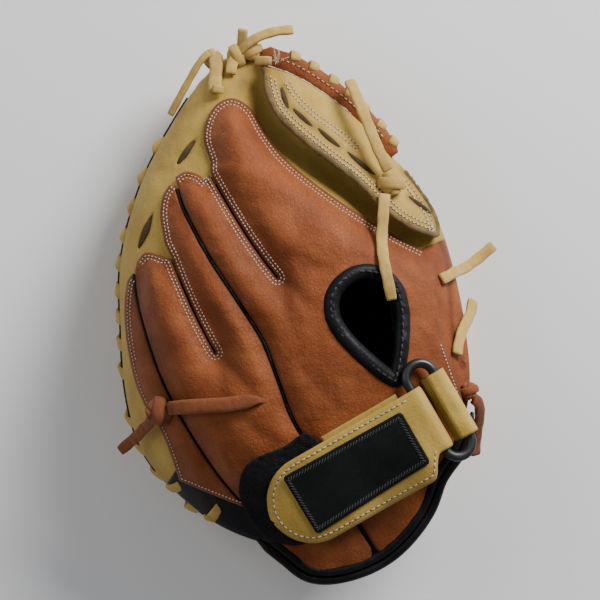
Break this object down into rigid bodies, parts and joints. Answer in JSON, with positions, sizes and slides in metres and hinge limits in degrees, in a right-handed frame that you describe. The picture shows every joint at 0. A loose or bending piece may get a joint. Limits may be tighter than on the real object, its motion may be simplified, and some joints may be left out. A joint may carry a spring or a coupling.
{
  "type": "baseball catcher's mitt",
  "caption": "Padded leather catcher's mitt for the left hand, with a laced web, a bound finger hole in the back and a hook and loop wrist strap through an oval ring.",
  "frame": {"origin": "centre of the bounding box of all but the free lace tails, at the level the rim rests on", "axes": "+Y from the wrist to the fingertips, +X to the thumb, +Z out of the back of the hand"},
  "size_m": [0.2586, 0.3198, 0.1247],
  "materials": {
    "rust_leather": "matt, pebbled grain",
    "tan_leather": "matt, pebbled grain",
    "black_leather": "satin",
    "black_fabric": "matt",
    "felt": "matt",
    "plastic": "satin"
  },
  "bodies": {
    "mitt": {"palm_leather": "tan_leather", "palm_pad_fingers": "felt", "palm_pad_little": "felt", "palm_pad_centre": "felt", "heel_pad": "felt", "palm_lining": "black_fabric", "back_lining": "black_fabric", "back_rim_band": "tan_leather", "wrist_rim_band": "rust_leather", "back_panel_index": "rust_leather", "back_panel_middle": "rust_leather", "back_panel_little": "rust_leather", "piping_middle": "black_leather", "piping_wrist": "black_leather", "piping_little": "black_leather", "finger_hole_binding": "black_leather", "wrist_binding": "black_leather", "heel_binding": "black_leather", "strap_base": "tan_leather", "loop_pad": "black_fabric", "ring_keeper": "tan_leather", "rim_lace": "tan_leather", "top_knot_index": "tan_leather", "wrist_knot": "rust_leather", "wrist_tail": "rust_leather", "little_lace": "rust_leather", "little_knot": "rust_leather", "little_tail": "rust_leather", "little_finger_loop": "tan_leather"},
    "thumb": {"palm_leather_thumb": "tan_leather", "thumb_pad": "felt", "web_pad": "felt", "web_rim_band": "tan_leather", "thumb_rim_band": "rust_leather", "back_panel_thumb_side": "rust_leather", "web_back_panel": "tan_leather", "web_top_roll": "rust_leather", "web_top_lace": "tan_leather", "web_knot": "tan_leather", "top_knot_web": "tan_leather", "web_tail_up": "tan_leather", "web_tail_down": "tan_leather", "thumb_tail_upper": "tan_leather", "thumb_tail_lower": "tan_leather"},
    "ring": {"strap_ring": "plastic"},
    "strap": {"strap_flap": "tan_leather", "strap_patch": "black_fabric", "hook_tape": "black_fabric"}
  },
  "joints": [
    {"name": "thumb_fold", "type": "hinge", "parent": "mitt", "child": "thumb", "pos_m": [0.07721, 0, 0.05], "axis": [0, 1, 0], "range_deg": [0, 25]},
    {"name": "ring_swivel", "type": "hinge", "parent": "mitt", "child": "ring", "pos_m": [0.06321, -0.09447, 0.11217], "axis": [0, 1, 0], "range_deg": [0, 20]},
    {"name": "strap_swing", "type": "hinge", "parent": "ring", "child": "strap", "pos_m": [0.04621, -0.09447, 0.11628], "axis": [0, 1, 0], "range_deg": [0, 120]}
  ]
}
